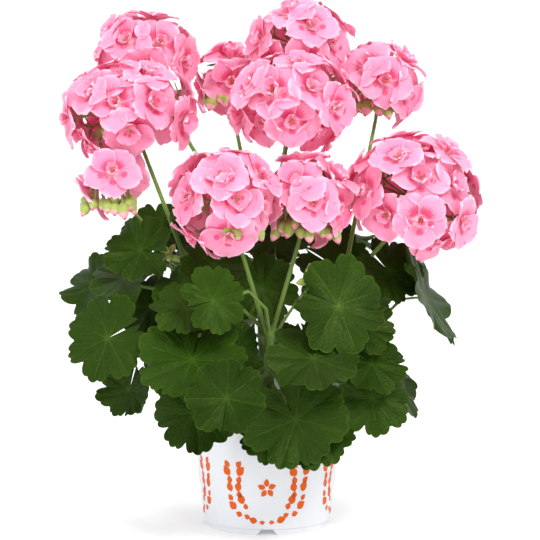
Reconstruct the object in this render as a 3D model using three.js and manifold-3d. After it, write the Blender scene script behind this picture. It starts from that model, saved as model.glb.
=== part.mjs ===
// Zonal geranium in a plastic nursery pot, in millimetres, +Z up.
// The origin is the middle of the pot's underside, and the side shown to a viewer faces -Y.
//
// The pot is one moulding. The soil fills it to just under the rim. Four shoots grow out of the soil, and each
// carries its leaf stalks and flower stalks as one grown piece. Every leaf blade sits on its own leaf stalk, and
// every flower head or bud cluster on its own flower stalk, a third of a millimetre clear of it.

import * as THREE from 'three';
import { mergeVertices } from 'three/addons/utils/BufferGeometryUtils.js';
import Module from 'manifold-3d';

const wasm = await Module();
wasm.setup();

// Driving dimensions.
const POT_HEIGHT = 100;
const POT_RADIUS = 60;           // outside of the rim
const FOOT_RADIUS = 45.6;        // outside of the foot ring
const WALL = 1.2;
const RIM_BAND = 8;              // height of the thicker band under the lip
const FOOT_HEIGHT = 4.6;
const HEADROOM = 10;             // from the lip down to the soil
const NOTCH_WIDTH = 17;          // drain notch in the foot ring, at the floor
const NOTCH_TOP_WIDTH = 8;
const NOTCH_COUNT = 4;
const DRAIN_COUNT = 8;
const DRAIN_RADIUS = 3.5;
const PLANT_SPREAD = 1;          // sideways spread of the foliage and flowers
const PLANT_RISE = 1;            // height of the foliage and flowers over the soil
const LEAF_SIZE = 1;             // size of every blade against its listed width
const BLADE_THICKNESS = 1.3;
const STEM_RADIUS = 4.6;
const LEAF_STALK_RADIUS = 1.55;
const FLOWER_STALK_RADIUS = 1.9;
const FLORET_WIDTH = 42;
const BUD_LENGTH = 11;
const BUD_WIDTH = 5;
const GAP = 0.3;                 // between pieces that touch

const group = new THREE.Group();
const UP = new THREE.Vector3(0, 0, 1);
const SOIL_TOP = POT_HEIGHT - HEADROOM;

const vec = (x, y, z) => new THREE.Vector3(x, y, z);
const radians = THREE.MathUtils.degToRad;

// Even, repeatable scatter between -1 and 1 for the n-th plant piece and its k-th trait.
function scatter(n, k) {
  const turn = (n + 1) * 0.618034 + k * 0.414214 + n * k * 0.271828;
  return 2 * (turn - Math.floor(turn)) - 1;
}

// A closed geometry becomes a solid that can be joined and cut.
function solidOf(geometry) {
  const bare = geometry.clone();
  bare.deleteAttribute('normal');
  bare.deleteAttribute('uv');
  const merged = mergeVertices(bare, 1e-4);
  return new wasm.Manifold(new wasm.Mesh({
    numProp: 3,
    vertProperties: new Float32Array(merged.attributes.position.array),
    triVerts: new Uint32Array(merged.index.array),
  }));
}

function geometryOf(solid) {
  const mesh = solid.getMesh();
  const geometry = new THREE.BufferGeometry();
  geometry.setAttribute('position', new THREE.BufferAttribute(new Float32Array(mesh.vertProperties), 3));
  geometry.setIndex(new THREE.BufferAttribute(new Uint32Array(mesh.triVerts), 1));
  geometry.computeVertexNormals();
  return geometry;
}

function addPiece(name, solid, colour, roughness) {
  const material = new THREE.MeshStandardMaterial({ color: colour, roughness, metalness: 0 });
  const mesh = new THREE.Mesh(geometryOf(solid), material);
  mesh.name = name;
  group.add(mesh);
}

// Moves every vertex of a three.js geometry through a function of its position.
function reshape(geometry, move) {
  const position = geometry.attributes.position;
  const point = vec(0, 0, 0);
  for (let i = 0; i < position.count; i += 1) {
    point.fromBufferAttribute(position, i);
    const moved = move(point);
    position.setXYZ(i, moved.x, moved.y, moved.z);
  }
  return geometry;
}

// A stalk: a regular section swept along a smooth curve through the points, tapering from one radius to another.
function stalk(points, startRadius, endRadius, sides, steps) {
  const curve = new THREE.CatmullRomCurve3(points, false, 'centripetal');
  const corners = [];
  for (let i = 0; i < sides; i += 1) {
    const angle = (2 * Math.PI * i) / sides;
    corners.push(new THREE.Vector2(Math.cos(angle), Math.sin(angle)));
  }
  const section = new THREE.Shape(corners);
  const geometry = new THREE.ExtrudeGeometry(section, { steps, extrudePath: curve, bevelEnabled: false });
  const stations = curve.getSpacedPoints(steps);
  reshape(geometry, (point) => {
    let nearest = 0;
    stations.forEach((station, i) => {
      if (station.distanceTo(point) < stations[nearest].distanceTo(point)) nearest = i;
    });
    const radius = THREE.MathUtils.lerp(startRadius, endRadius, nearest / steps);
    return point.clone().sub(stations[nearest]).multiplyScalar(radius).add(stations[nearest]);
  });
  return solidOf(geometry);
}

// Placed solids, each with its box, so that later pieces can grow clear of them.
function placed(solid, owner) {
  const box = new THREE.Box3();
  const { min, max } = solid.boundingBox();
  box.min.fromArray(min);
  box.max.fromArray(max);
  return { solid, box, owner };
}

function meets(candidate, neighbours, owner) {
  return neighbours.some((other) => other.owner !== owner
    && candidate.box.intersectsBox(other.box)
    && !candidate.solid.intersect(other.solid).isEmpty());
}

const neighbours = [];

// ---------------------------------------------------------------------------------------------------------
// Pot: a thin-walled cup turned round its axis, with a lip, a thicker rim band, a raised floor inside a foot
// ring, a middle foot, drain notches through the foot ring and drain holes through the floor.

const wallSlope = (POT_RADIUS - 3.4 - FOOT_RADIUS - 1.3) / (POT_HEIGHT - RIM_BAND - FOOT_HEIGHT);
const wallAt = (z) => FOOT_RADIUS + 1.3 + wallSlope * (z - FOOT_HEIGHT);
const FLOOR_TOP = FOOT_HEIGHT + 0.2 + WALL;

const potProfile = [
  [0, 0],
  [6.5, 0],
  [8, FOOT_HEIGHT + 0.2],
  [FOOT_RADIUS - 3.2, FOOT_HEIGHT + 0.2],
  [FOOT_RADIUS - 1.8, 0],
  [FOOT_RADIUS, 0],
  [FOOT_RADIUS, FOOT_HEIGHT - 0.9],
  [wallAt(FOOT_HEIGHT), FOOT_HEIGHT + 0.2],
  [wallAt(POT_HEIGHT - RIM_BAND - 1.5), POT_HEIGHT - RIM_BAND - 1.5],
  [POT_RADIUS - 0.6, POT_HEIGHT - RIM_BAND],
  [POT_RADIUS, POT_HEIGHT - 1.2],
  [POT_RADIUS - 0.8, POT_HEIGHT],
  [POT_RADIUS - 2.6, POT_HEIGHT],
  [POT_RADIUS - 3.4, POT_HEIGHT - 1.2],
  [wallAt(POT_HEIGHT - RIM_BAND - 3) - WALL, POT_HEIGHT - RIM_BAND - 3],
  [wallAt(FLOOR_TOP + 2) - WALL, FLOOR_TOP + 2],
  [FOOT_RADIUS - 2.4, FLOOR_TOP],
  [0, FLOOR_TOP],
].map(([radius, z]) => new THREE.Vector2(radius, z));

function turned(profile, segments) {
  const geometry = new THREE.LatheGeometry(profile, segments);
  geometry.rotateX(Math.PI / 2);
  return geometry;
}

function makePot() {
  let pot = solidOf(turned(potProfile, 40));
  const notch = new THREE.Shape([
    new THREE.Vector2(-NOTCH_WIDTH / 2, -1),
    new THREE.Vector2(NOTCH_WIDTH / 2, -1),
    new THREE.Vector2(NOTCH_TOP_WIDTH / 2, FOOT_HEIGHT - 0.3),
    new THREE.Vector2(-NOTCH_TOP_WIDTH / 2, FOOT_HEIGHT - 0.3),
  ]);
  for (let i = 0; i < NOTCH_COUNT; i += 1) {
    const cutter = new THREE.ExtrudeGeometry(notch, { depth: 12, bevelEnabled: false });
    cutter.rotateX(Math.PI / 2);
    cutter.translate(0, -FOOT_RADIUS + 8, 0);
    cutter.rotateZ((2 * Math.PI * i) / NOTCH_COUNT);
    pot = pot.subtract(solidOf(cutter));
  }
  for (let i = 0; i < DRAIN_COUNT; i += 1) {
    const cutter = new THREE.CylinderGeometry(DRAIN_RADIUS, DRAIN_RADIUS, 8, 10);
    cutter.rotateX(Math.PI / 2);
    cutter.translate(FOOT_RADIUS * 0.66, 0, FOOT_HEIGHT);
    cutter.rotateZ((2 * Math.PI * (i + 0.5)) / DRAIN_COUNT);
    pot = pot.subtract(solidOf(cutter));
  }
  return pot;
}

const pot = makePot();
neighbours.push(placed(pot, 'pot'));
addPiece('pot', pot, 0xf0f0f2, 0.4);

// ---------------------------------------------------------------------------------------------------------
// Shoots. Each has a fleshy stem that stands in the soil, and its leaf stalks and flower stalks grow out of it.

const grown = ([x, y, z]) => vec(x * PLANT_SPREAD, y * PLANT_SPREAD, SOIL_TOP + (z - SOIL_TOP) * PLANT_RISE);

const shoots = [
  { path: [[-20, -12, 66], [-26, -15, 110], [-44, -20, 150], [-54, -22, 186]], flowers: [3, 4, 1] },
  { path: [[2, -24, 66], [2, -32, 100], [1, -44, 125], [2, -52, 148]], flowers: [9, 10, 0] },
  { path: [[24, 0, 66], [30, -4, 105], [46, -12, 145], [56, -12, 182]], flowers: [8, 11] },
  { path: [[-2, 24, 66], [-2, 30, 110], [-4, 34, 150], [-2, 32, 192]], flowers: [2, 5, 6, 7] },
];

const soilPockets = [];
shoots.forEach((shoot, s) => {
  const points = shoot.path.map(grown);
  shoot.name = `shoot_${s + 1}`;
  shoot.curve = new THREE.CatmullRomCurve3(points, false, 'centripetal');
  shoot.solid = stalk(points, STEM_RADIUS, STEM_RADIUS * 0.72, 8, 7);
  soilPockets.push(stalk(points.slice(0, 2), STEM_RADIUS + GAP + 0.25, STEM_RADIUS + GAP + 0.25, 8, 2));
  neighbours.push(placed(shoot.solid, shoot.name));
});

// The straightest of a fixed order of bowed paths, from one of the heights on the stem, that passes clear of
// every neighbour. It ends along the tail's points, close to the piece that it carries.
function growStalk(shoot, heights, tail, radius, endRadius, own) {
  const others = neighbours.filter((other) => other.owner !== own.owner).concat(own);
  const end = tail[0];
  const [low, high] = [shoot.curve.getPoint(0).z, shoot.curve.getPoint(1).z];
  for (const height of heights) {
    const level = (Math.max(height, SOIL_TOP + 14) - low) / (high - low);
    const start = shoot.curve.getPointAt(Math.min(level, 0.97));
    const along = end.clone().sub(start);
    const length = along.length();
    const across = along.clone().cross(UP).normalize();
    const over = across.clone().cross(along).normalize();
    const steps = THREE.MathUtils.clamp(Math.round(length / 20), 4, 7);
    for (let turn = 0; turn < 85; turn += 1) {
      const reach = Math.ceil(turn / 12);
      const angle = (turn % 2 === 0 ? 1 : -1) * Math.ceil((turn % 12) / 2) * radians(30);
      const bow = over.clone().multiplyScalar(Math.cos(angle)).addScaledVector(across, Math.sin(angle));
      const middle = start.clone().lerp(end, 0.5).addScaledVector(bow, reach * length * 0.07);
      const points = [start, middle, ...tail];
      const fat = placed(stalk(points, radius + 0.45, endRadius + 0.45, 5, steps), shoot.name);
      if (!meets(fat, others.slice(0, -1), shoot.name)) {
        const grownStalk = stalk(points, radius, endRadius, 5, steps);
        if (!meets(placed(grownStalk, shoot.name), [own], shoot.name)) return grownStalk;
      }
    }
  }
  return null;
}

function joinStalk(shoot, grownStalk) {
  shoot.solid = shoot.solid.add(grownStalk);
  neighbours.push(placed(grownStalk, shoot.name));
}

// ---------------------------------------------------------------------------------------------------------
// Flower heads. Every head is an umbel: little stalks spread from one knot at the top of the flower stalk, and
// each ends in a floret or in a hanging bud. The florets stand on a rounded shell, in the even spiral order of a
// seed head, starting with one lead floret.

// A floret: five petals round a sunken throat, over a short cup of sepals.
function floret(throat, axis, width, spin) {
  const geometry = new THREE.SphereGeometry(1, 10, 2);
  const turn = new THREE.Quaternion().setFromUnitVectors(UP, axis);
  reshape(geometry, (point) => {
    if (Math.abs(point.y) > 0.5) {
      return vec(0, 0, point.y > 0 ? 0 : -width * 0.2).applyQuaternion(turn).add(throat);
    }
    const angle = Math.atan2(point.z, point.x);
    const step = Math.round((angle * 5) / Math.PI);
    const tip = step % 2 === 0;
    const radius = width * (tip ? 0.5 : 0.36);
    const lift = width * (tip ? 0.13 : 0.1);
    const around = -angle + spin;
    return vec(radius * Math.cos(around), radius * Math.sin(around), lift).applyQuaternion(turn).add(throat);
  });
  return solidOf(geometry);
}

function bud(middle, axis, length, width) {
  const geometry = new THREE.SphereGeometry(1, 5, 3);
  const turn = new THREE.Quaternion().setFromUnitVectors(vec(0, 1, 0), axis);
  reshape(geometry, (point) => vec(
    (point.x * width) / 2,
    (point.y * length) / 2,
    (point.z * width) / 2,
  ).applyQuaternion(turn).add(middle));
  return solidOf(geometry);
}

// Directions of n florets over a ball, evenly spread, the first one along lead. Those that would point down the
// flower stalk are left out.
function spread(n, lead, stalkWay) {
  const turn = new THREE.Quaternion().setFromUnitVectors(UP, lead);
  const ways = [];
  for (let i = 0; i < n; i += 1) {
    const height = 1 - (2 * i) / (n - 0.5);
    const ring = Math.sqrt(Math.max(0, 1 - height * height));
    const angle = i * 2.39996;
    const way = vec(ring * Math.cos(angle), ring * Math.sin(angle), height).applyQuaternion(turn);
    if (way.angleTo(stalkWay) > radians(48)) ways.push(way);
  }
  return ways;
}

const facing = (yaw, pitch) => vec(
  Math.sin(radians(yaw)) * Math.cos(radians(pitch)),
  -Math.cos(radians(yaw)) * Math.cos(radians(pitch)),
  Math.sin(radians(pitch)),
);

// Knot of each head, the way its stalk leaves it, the shell's half sizes, how many places the shell has, the
// lead floret's way (yaw from the viewer, pitch up), and its hanging buds: how many, and round which yaw.
const heads = [
  { knot: [-91, 42, 345], down: [0.35, 0.1, -1], shell: [29, 26, 24], places: 10, lead: [-25, 25], buds: [0, 0] },
  { knot: [-99, -18, 306], down: [0.3, 0.1, -1], shell: [42, 30, 25], places: 14, lead: [-10, 10], buds: [3, -80] },
  { knot: [-110, -42, 255], down: [0.5, 0.3, -0.8], shell: [14, 14, 13], places: 4, lead: [5, 25], buds: [6, -30] },
  { knot: [18, -26, 311], down: [-0.1, 0.2, -1], shell: [36, 29, 26], places: 14, lead: [-20, 15], buds: [5, 40] },
  { knot: [25, 36, 352], down: [-0.1, 0, -1], shell: [29, 27, 24], places: 10, lead: [15, 30], buds: [0, 0] },
  { knot: [-29, 70, 330], down: [0.1, 0, -1], shell: [19, 17, 14], places: 6, lead: [10, 60], buds: [5, 0] },
  { knot: [84, 34, 324], down: [-0.1, -0.1, -1], shell: [23, 22, 21], places: 9, lead: [5, 5], buds: [3, -30] },
  { knot: [-28, -80, 243], down: [0.3, 0.1, -1], shell: [28, 24, 29], places: 13, lead: [14, 4], buds: [4, 30] },
  { knot: [28, -50, 241], down: [-0.15, 0, -1], shell: [22, 21, 24], places: 10, lead: [10, 0], buds: [9, 0] },
  { knot: [103, -34, 243], down: [-0.4, 0.2, -1], shell: [41, 36, 39], places: 17, lead: [6, 22], buds: [4, -60] },
];

// Clusters that are still all buds: a full one on a curved stalk, and a young one.
const clusters = [
  { knot: [34, -66, 186], down: [-0.6, 0.3, -0.7], shell: [10, 9, 9], places: 11, lead: [0, 20], size: 0.9 },
  { knot: [-70, -48, 203], down: [0.2, 0.5, -0.9], shell: [6, 6, 6], places: 7, lead: [-20, 40], size: 0.7 },
];

// A little stalk from the skin of the knot.
function pedicel(knot, end, rise, radius) {
  const start = knot.clone().addScaledVector(end.clone().sub(knot).normalize(), 1.9);
  const middle = start.clone().lerp(end, 0.5).add(vec(0, 0, rise));
  return stalk([start, middle, end], radius, radius, 3, rise === 0 ? 1 : 2);
}

function knotOf(head) {
  const knot = grown(head.knot);
  const down = vec(...head.down).normalize();
  const ball = new THREE.SphereGeometry(1, 9, 3);
  const turn = new THREE.Quaternion().setFromUnitVectors(vec(0, -1, 0), down);
  reshape(ball, (point) => point.clone().multiply(vec(3, 3.6, 3)).applyQuaternion(turn).add(knot));
  return { knot, down, solid: solidOf(ball), foot: knot.clone().addScaledVector(down, 3.6) };
}

// Florets keep clear of the heads beside them: one that would touch is drawn in, and if that isn't enough it is
// left out, as a crowded floret is.
function makeHead(head, n, name) {
  const { knot, down, solid, foot } = knotOf(head);
  const clear = (piece) => !meets(placed(piece, name), neighbours, name);
  let whole = solid;
  spread(head.places, facing(...head.lead), down).forEach((way, i) => {
    const axis = way.clone().add(vec(0, 0, 0.12)).normalize();
    const width = FLORET_WIDTH * (1 + 0.07 * scatter(n * 5 + i, 2));
    const spin = scatter(n + i, 3) * 3;
    for (let drawn = 1; drawn > 0.55; drawn -= 0.1) {
      const reach = vec(...head.shell).multiplyScalar(drawn * (1 + 0.05 * scatter(n * 7 + i, 1)));
      const throat = knot.clone().add(way.clone().multiply(reach));
      const stem = pedicel(knot, throat.clone().addScaledVector(axis, -width * 0.12), 0, 0.9);
      if (clear(floret(throat, axis, width * 1.05, spin)) && clear(stem)) {
        whole = whole.add(floret(throat, axis, width, spin)).add(stem);
        break;
      }
    }
  });
  const [count, yaw] = head.buds;
  for (let i = 0; i < count; i += 1) {
    const way = facing(yaw + 36 * (i - (count - 1) / 2) + 9 * scatter(n + i, 4), -34 + 16 * scatter(n + i, 5));
    const length = BUD_LENGTH * (1 + 0.16 * scatter(n + i, 6));
    const middle = knot.clone().addScaledVector(way, 25 + 6 * scatter(n + i, 7)).add(vec(0, 0, -6));
    const axis = way.clone().add(vec(0, 0, -1.1)).normalize();
    const stem = pedicel(knot, middle.clone().addScaledVector(axis, -length * 0.3), 3, 0.7);
    if (clear(bud(middle, axis, length * 1.1, BUD_WIDTH * 1.2)) && clear(stem)) {
      whole = whole.add(bud(middle, axis, length, BUD_WIDTH)).add(stem);
    }
  }
  return { whole, foot, down };
}

function makeCluster(cluster, n) {
  const { knot, down, solid, foot } = knotOf(cluster);
  let whole = solid;
  spread(cluster.places, facing(...cluster.lead), down).forEach((way, i) => {
    const length = BUD_LENGTH * cluster.size * (1 + 0.12 * scatter(n + i, 8));
    const middle = knot.clone().add(way.clone().multiply(vec(...cluster.shell)));
    whole = whole.add(bud(middle, way, length, BUD_WIDTH * cluster.size));
    whole = whole.add(pedicel(knot, middle.clone().addScaledVector(way, -length * 0.3), 0, 0.7));
  });
  return { whole, foot, down };
}

const flowers = [];
function setFlower(name, flower, colour) {
  const own = placed(flower.whole, name);
  flowers.push({ ...flower, name, own });
  neighbours.push(own);
  addPiece(name, flower.whole, colour, 0.6);
}
clusters.forEach((cluster, n) => setFlower(`bud_cluster_${n + 1}`, makeCluster(cluster, n), 0x7c9a3a));
heads.forEach((head, n) => {
  const name = `flower_head_${n + 1}`;
  setFlower(name, makeHead(head, n, name), 0xf7a9c4);
});

shoots.forEach((shoot) => {
  shoot.flowers.forEach((index) => {
    const { foot, down, name, own } = flowers[index];
    const end = foot.clone().addScaledVector(down, GAP);
    const tail = [end.clone().addScaledVector(down, 16), end];
    const radius = index < clusters.length ? FLOWER_STALK_RADIUS * 0.75 : FLOWER_STALK_RADIUS;
    const top = shoot.curve.getPoint(1).z;
    const heights = [8, 16, 3, 26, 38].map((drop) => top - drop);
    const grownStalk = growStalk(shoot, heights, tail, radius + 0.3, radius - 0.3, own);
    if (grownStalk === null) throw new Error(`${name} finds no clear stalk`);
    joinStalk(shoot, grownStalk);
  });
});

// ---------------------------------------------------------------------------------------------------------
// Leaf blades. A blade is a round disc of seven shallow lobes with a deep cleft behind the place where its stalk
// joins. It is thickest at that place and thins to its margin. It dishes a little and its margin waves.

const LOBE_POINTS = 15;          // margin corners from one side of the cleft round to the other
const CLEFT = radians(11);       // half the cleft's opening

// Margin of the unit blade at corner j; corner 0 is the bottom of the cleft.
function marginAt(j) {
  if (j === 0) return { angle: Math.PI, reach: 0.16 };
  const angle = CLEFT + ((j - 1) / (LOBE_POINTS - 1)) * 2 * (Math.PI - CLEFT) - Math.PI;
  const tip = j % 2 === 0;
  const edge = j === 1 || j === LOBE_POINTS;
  const long = 0.93 + 0.07 * Math.abs(Math.sin(angle));
  return { angle, reach: edge ? 0.8 : long * (tip ? 1 : 0.91) };
}

function blade(leaf, hub, fat) {
  const size = (leaf.width / 2) * LEAF_SIZE;
  const geometry = new THREE.SphereGeometry(1, LOBE_POINTS + 1, 5);
  const side = leaf.normal.clone().cross(leaf.midrib);
  reshape(geometry, (point) => {
    const level = Math.round((Math.acos(THREE.MathUtils.clamp(point.y, -1, 1)) * 5) / Math.PI);
    const column = Math.round(((Math.atan2(point.z, -point.x) / (2 * Math.PI)) + 1) * (LOBE_POINTS + 1));
    const { angle, reach } = marginAt(column % (LOBE_POINTS + 1));
    const out = [0, 0.55, 1, 1, 0.55, 0][level];
    const half = [1, 0.8, 0.4, -0.4, -0.8, -1][level] * (BLADE_THICKNESS / 2 + fat);
    const radius = out * reach * size + (out === 1 ? fat : 0);
    const far = out * Math.min(1, reach + 0.3);
    const wave = leaf.wave * Math.cos(leaf.waves * angle + leaf.phase) + leaf.fold * Math.sin(angle) ** 2;
    const lift = size * far * far * (leaf.dish + far * wave);
    return hub.clone()
      .addScaledVector(leaf.midrib, radius * Math.cos(angle))
      .addScaledVector(side, radius * Math.sin(angle))
      .addScaledVector(leaf.normal, lift + half);
  });
  return solidOf(geometry);
}

// Leaves seen from the front: hub, way the upper face looks (yaw, pitch), midrib's way as a viewer sees it
// (degrees up from the right), width, how much the blade dishes, and the shoot that it grows from.
const frontLeaves = [
  [[-112, -70, 146], [-15, 18], 205, 64, 0.1, 0],
  [[-126, -8, 178], [-45, 35], 185, 56, 0.1, 0],
  [[-102, -42, 186], [-30, 52], 200, 56, 0.12, 0],
  [[-86, -36, 200], [-20, 30], 160, 54, 0.15, 0],
  [[-79, -2, 214], [-12, 28], 80, 54, 0.15, 0],
  [[-46, -12, 220], [5, 35], 75, 52, 0.12, 3],
  [[-37, -52, 196], [0, 40], 95, 50, 0.2, 1],
  [[-62, -62, 178], [-15, 35], 195, 42, 0.15, 0],
  [[-56, -80, 168], [-5, 45], 235, 52, 0.12, 0],
  [[-39, -84, 172], [10, 16], 20, 48, 0.2, 1],
  [[-52, -92, 134], [-6, 42], 262, 80, 0.1, 0],
  [[-98, -56, 108], [-35, 15], 250, 46, 0.3, 0],
  [[-50, -86, 96], [-12, 18], 235, 62, 0.1, 1],
  [[-27, -106, 108], [-2, 12], 85, 56, 0.45, 1],
  [[20, -98, 93], [8, 12], 298, 74, 0.05, 1],
  [[32, -106, 137], [2, 52], 275, 68, 0.08, 1],
  [[49, -88, 170], [14, 28], 335, 72, 0.08, 2],
  [[84, -14, 188], [35, 30], 320, 58, 0.1, 2],
  [[66, -56, 154], [22, 44], 345, 54, 0.12, 2],
  [[74, -64, 134], [28, 38], 335, 56, 0.12, 2],
  [[77, -72, 108], [16, 16], 272, 58, 0.12, 2],
  [[34, -84, 116], [5, 25], 300, 56, 0.12, 2],
  [[-4, -44, 180], [0, 18], 85, 56, 0.15, 1],
  [[-6, -66, 140], [60, 15], 80, 44, 0.25, 1],
  [[50, 0, 196], [15, 30], 330, 60, 0.1, 2],
  [[4, -70, 118], [-10, 25], 215, 50, 0.15, 1],
  [[6, -8, 210], [0, 32], 90, 50, 0.12, 1],
  [[-84, -20, 178], [-20, 30], 230, 52, 0.12, 0],
  [[-50, -22, 146], [-5, 25], 250, 56, 0.12, 1],
  [[30, -30, 142], [5, 15], 290, 44, 0.12, 1],
];

function frontLeaf([hub, [yaw, pitch], turn, width, dish, shoot], n) {
  const normal = facing(yaw, pitch);
  const seen = vec(Math.cos(radians(turn)), 0, Math.sin(radians(turn)));
  const midrib = seen.addScaledVector(normal, -seen.dot(normal)).normalize();
  return makeLeaf(n, grown(hub), normal, midrib, width, dish, shoot);
}

function makeLeaf(n, hub, normal, midrib, width, dish, shoot) {
  return {
    hub,
    normal,
    midrib,
    width,
    dish: dish * 0.8,
    shoot,
    wave: 0.07 + 0.035 * scatter(n, 11),
    waves: 3 + (n % 2),
    phase: 3 * scatter(n, 12),
    fold: 0.05 * scatter(n, 13),
  };
}

// Leaves round the sides and the back, in three tiers: height, distance from the axis, tilt, width, number.
const backTiers = [
  { z: 116, reach: 88, pitch: 22, width: 72, count: 5, from: -2, to: 182 },
  { z: 162, reach: 92, pitch: 34, width: 78, count: 4, from: -10, to: 170 },
  { z: 203, reach: 62, pitch: 50, width: 66, count: 3, from: 30, to: 145 },
];

const leaves = frontLeaves.map(frontLeaf);
backTiers.forEach((tier, t) => {
  for (let i = 0; i < tier.count; i += 1) {
    const n = leaves.length;
    const angle = radians(THREE.MathUtils.lerp(tier.from, tier.to, i / (tier.count - 1)) + 5 * scatter(n, 14));
    const reach = tier.reach + 6 * scatter(n, 15);
    const hub = grown([reach * Math.cos(angle), reach * Math.sin(angle), tier.z + 7 * scatter(n, 16)]);
    const tilt = radians(tier.pitch + 8 * scatter(n, 17));
    const outward = vec(Math.cos(angle), Math.sin(angle), 0);
    const normal = outward.clone().multiplyScalar(Math.cos(tilt)).addScaledVector(UP, Math.sin(tilt));
    const along = vec(-Math.sin(angle), Math.cos(angle), 0).multiplyScalar(0.5 * scatter(n, 18));
    const midrib = along.sub(UP).addScaledVector(outward, 0.2);
    midrib.addScaledVector(normal, -midrib.dot(normal)).normalize();
    const shoot = [2, 3, 0][Math.min(2, Math.floor((angle + radians(20)) / radians(75)))];
    leaves.push(makeLeaf(n, hub, normal, midrib, tier.width * (1 + 0.1 * scatter(n, 19)), 0.12, shoot));
  }
});

// Shifts in a growing order: in and out along the way a blade faces, and down.
const shifts = [];
for (let far = 0; far <= 16; far += 1) {
  for (let down = 0; down <= far; down += 1) {
    shifts.push([2.2 * (far - down), 3 * down]);
    if (down < far) shifts.push([-2.2 * (far - down), 3 * down]);
  }
}

// A leaf turned round the plant's axis by an angle in degrees.
function movedRound(leaf, angle) {
  const turn = (way) => way.clone().applyAxisAngle(UP, radians(angle));
  return { ...leaf, hub: turn(leaf.hub), normal: turn(leaf.normal), midrib: turn(leaf.midrib) };
}

// A leaf with its stalk at one place, or null where the blade meets a neighbour or no stalk can reach it.
function tryLeaf(leaf, hub, name) {
  if (meets(placed(blade(leaf, hub, 0.4), name), neighbours, name)) return null;
  const own = placed(blade(leaf, hub, 0), name);
  const end = hub.clone().addScaledVector(leaf.normal, -BLADE_THICKNESS / 2 - GAP);
  const tail = [
    end.clone().addScaledVector(leaf.normal, -10).addScaledVector(leaf.midrib, -7),
    end.clone().addScaledVector(leaf.normal, -3),
    end,
  ];
  const heights = [0, -14, 14, -28, 28].map((step) => SOIL_TOP + 12 + 0.72 * (hub.z - SOIL_TOP) + step);
  const radius = LEAF_STALK_RADIUS;
  const grownStalk = growStalk(shoots[leaf.shoot], heights, tail, radius + 0.35, radius - 0.25, own);
  return grownStalk === null ? null : { own, grownStalk };
}

// Each blade is set at the first place where it is clear of its neighbours and a leaf stalk can reach it, near
// its own place or, in a crowd, a little way round the plant.
function setLeaf(leaf, name) {
  for (const angle of [0, 12, -12, 24, -24, 36, -36]) {
    const set = movedRound(leaf, angle);
    for (const [out, drop] of shifts) {
      const hub = set.hub.clone().addScaledVector(set.normal, out).addScaledVector(UP, -drop);
      const found = tryLeaf(set, hub, name);
      if (found) {
        joinStalk(shoots[set.shoot], found.grownStalk);
        neighbours.push(found.own);
        return found.own.solid;
      }
    }
  }
  throw new Error(`${name} finds no clear place`);
}

leaves.forEach((leaf, n) => {
  const name = `leaf_${String(n + 1).padStart(2, '0')}`;
  const green = new THREE.Color(0x46681f).offsetHSL(0.012 * scatter(n, 21), 0, 0.035 * scatter(n, 22));
  addPiece(name, setLeaf(leaf, name), green, 0.55);
});

shoots.forEach((shoot) => addPiece(shoot.name, shoot.solid, 0x6f8f2c, 0.5));

// ---------------------------------------------------------------------------------------------------------
// Soil: a block that stands clear of the pot's inside, with an uneven top that is lower near the wall, and a
// pocket round each stem.

const soilProfile = [
  [0, FLOOR_TOP + GAP],
  [FOOT_RADIUS - 3, FLOOR_TOP + GAP],
  [wallAt(FLOOR_TOP + 3) - WALL - 0.9, FLOOR_TOP + 3],
  [wallAt(SOIL_TOP - 2) - WALL - 0.6, SOIL_TOP - 2],
  [wallAt(SOIL_TOP) - WALL - 6, SOIL_TOP],
  [POT_RADIUS * 0.62, SOIL_TOP + 0.6],
  [POT_RADIUS * 0.34, SOIL_TOP + 1.6],
  [0, SOIL_TOP + 2],
].map(([radius, z]) => new THREE.Vector2(radius, z));

let soil = solidOf(reshape(turned(soilProfile, 24), (point) => {
  const top = THREE.MathUtils.smoothstep(point.z, SOIL_TOP - 1, SOIL_TOP + 0.5);
  const wave = Math.sin(point.x * 0.19 + 1) * Math.cos(point.y * 0.17) + 0.5 * Math.sin(point.x * 0.4 - point.y * 0.33);
  return point.clone().add(vec(0, 0, top * wave * 0.9));
}));
soilPockets.forEach((pocket) => {
  soil = soil.subtract(pocket);
});
addPiece('potting_soil', soil, 0x2e2118, 0.95);

export default group;
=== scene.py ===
import math

import bpy
import numpy as np
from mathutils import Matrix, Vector


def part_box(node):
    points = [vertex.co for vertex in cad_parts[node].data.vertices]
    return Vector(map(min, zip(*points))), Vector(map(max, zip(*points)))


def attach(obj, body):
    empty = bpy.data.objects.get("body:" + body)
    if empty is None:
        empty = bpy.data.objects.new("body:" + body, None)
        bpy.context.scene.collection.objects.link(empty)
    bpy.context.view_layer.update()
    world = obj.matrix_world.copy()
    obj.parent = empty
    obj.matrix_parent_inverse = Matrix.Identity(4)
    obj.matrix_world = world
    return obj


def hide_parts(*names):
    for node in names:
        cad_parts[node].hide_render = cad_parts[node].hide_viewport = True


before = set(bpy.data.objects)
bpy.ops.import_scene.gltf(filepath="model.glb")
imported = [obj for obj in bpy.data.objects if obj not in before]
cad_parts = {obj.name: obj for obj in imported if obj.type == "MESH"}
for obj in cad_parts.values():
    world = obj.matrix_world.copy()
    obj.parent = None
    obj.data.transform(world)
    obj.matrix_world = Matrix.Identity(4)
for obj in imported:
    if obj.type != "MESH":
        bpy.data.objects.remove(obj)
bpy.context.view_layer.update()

# ---- Pot ------------------------------------------------------
# A thin-walled nursery pot, injection moulded in white polypropylene in one piece: lip, rim band, tapered
# wall, foot ring with drain notches. The moulded solid shows itself, with softened edges.

CORNER = 1e-6           # facets' corners nearer than this are one corner


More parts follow.
